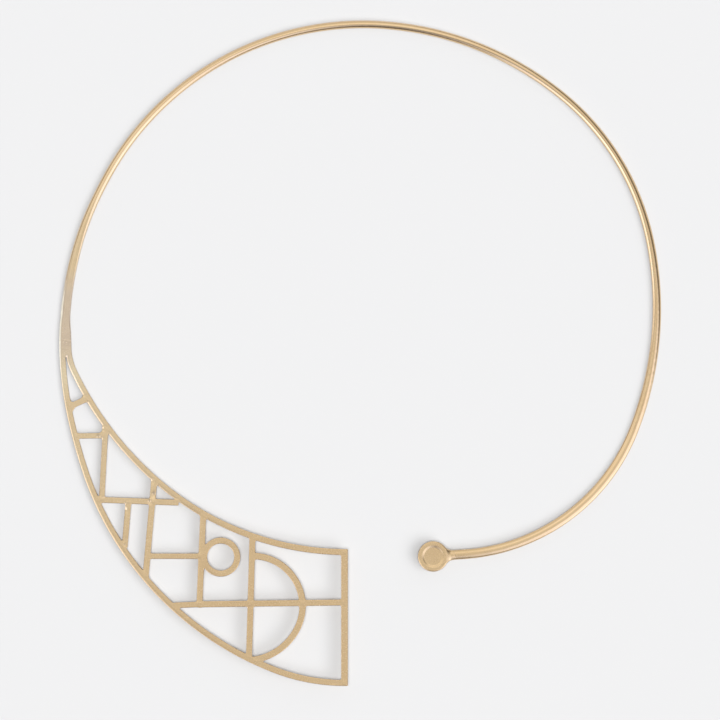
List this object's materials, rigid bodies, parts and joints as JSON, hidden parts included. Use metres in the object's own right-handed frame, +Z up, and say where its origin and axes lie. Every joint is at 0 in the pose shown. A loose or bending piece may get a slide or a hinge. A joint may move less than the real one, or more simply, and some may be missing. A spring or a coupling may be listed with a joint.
{
  "type": "wire choker necklace",
  "caption": "Rigid open neck ring of round gold wire, with a curved openwork lattice panel at one end and a small round cup at the other.",
  "frame": {"origin": "on the surface the ring lies on, under the middle of its outline", "axes": "+Z up from the surface, +Y from the front gap towards the back of the neck, +X from the panel side towards the cup side"},
  "size_m": [0.1384, 0.153, 0.0042],
  "materials": {
    "polished_gold": "polished pale gold plating with fine handling scratches",
    "satin_gold": "satin pale gold plating with fine rub marks in several directions"
  },
  "bodies": {
    "root": {"neck_wire": "polished_gold", "openwork_panel": "satin_gold", "end_cup": "satin_gold"}
  },
  "joints": []
}
